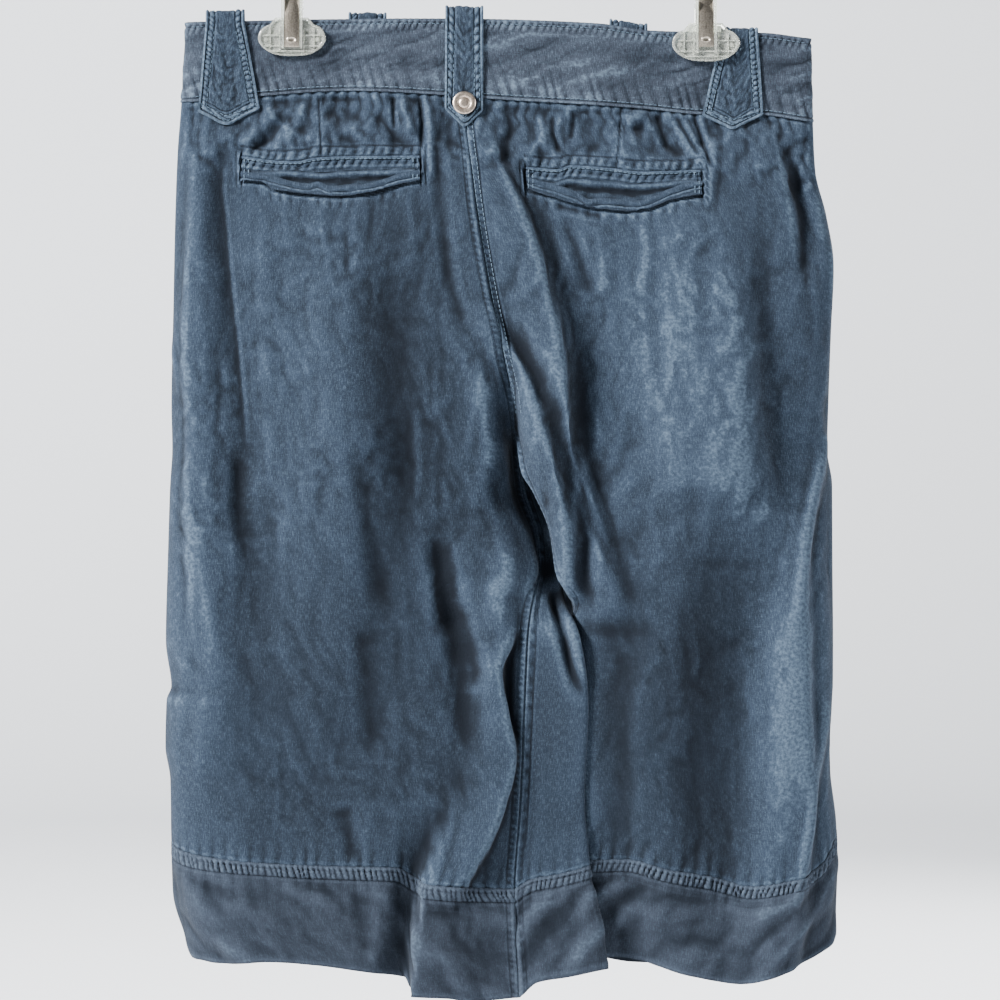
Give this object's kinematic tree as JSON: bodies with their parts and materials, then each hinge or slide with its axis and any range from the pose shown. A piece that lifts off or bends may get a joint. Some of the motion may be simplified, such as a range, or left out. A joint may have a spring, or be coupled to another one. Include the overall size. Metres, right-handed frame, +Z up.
{
  "type": "capri pants on clip hanger",
  "caption": "Wide-leg cropped pants of washed linen denim, seen hung by the waistband from a clip hanger: legs open at the hem, welt pockets, pointed belt loops, separate hem bands.",
  "frame": {"origin": "inside top of the hanger's hook, where it hangs on its rail", "axes": "+X across the waistband, +Y out of the garment's front, +Z up; the garment's back faces -Y"},
  "size_m": [0.4736, 0.1049, 0.8086],
  "materials": {
    "denim": "washed, slubby linen denim",
    "band_denim": "doubled linen denim, worn at its edges",
    "button_metal": "pale warm metal, worn satin",
    "clear_plastic": "clear moulded plastic",
    "spring_steel": "bright spring steel"
  },
  "bodies": {
    "root": {"left_back_panel": "denim", "right_back_panel": "denim", "left_front_panel": "denim", "right_front_panel": "denim", "left_back_hem": "denim", "right_back_hem": "denim", "left_front_hem": "denim", "right_front_hem": "denim", "left_upper_welt": "denim", "left_lower_welt": "denim", "left_pocket_facing": "denim", "right_upper_welt": "denim", "right_lower_welt": "denim", "right_pocket_facing": "denim", "front_fly": "denim", "back_waistband": "band_denim", "left_front_waistband": "band_denim", "right_front_waistband": "band_denim", "left_back_loop": "band_denim", "centre_back_loop": "band_denim", "right_back_loop": "band_denim", "left_front_loop": "band_denim", "right_front_loop": "band_denim", "back_button": "button_metal", "front_button": "button_metal", "hanger_bar": "clear_plastic", "left_clip_back_pad": "clear_plastic", "left_clip_front_pad": "clear_plastic", "right_clip_back_pad": "clear_plastic", "right_clip_front_pad": "clear_plastic", "hanger_hook": "spring_steel", "left_clip_spring": "spring_steel", "right_clip_spring": "spring_steel"}
  },
  "joints": []
}
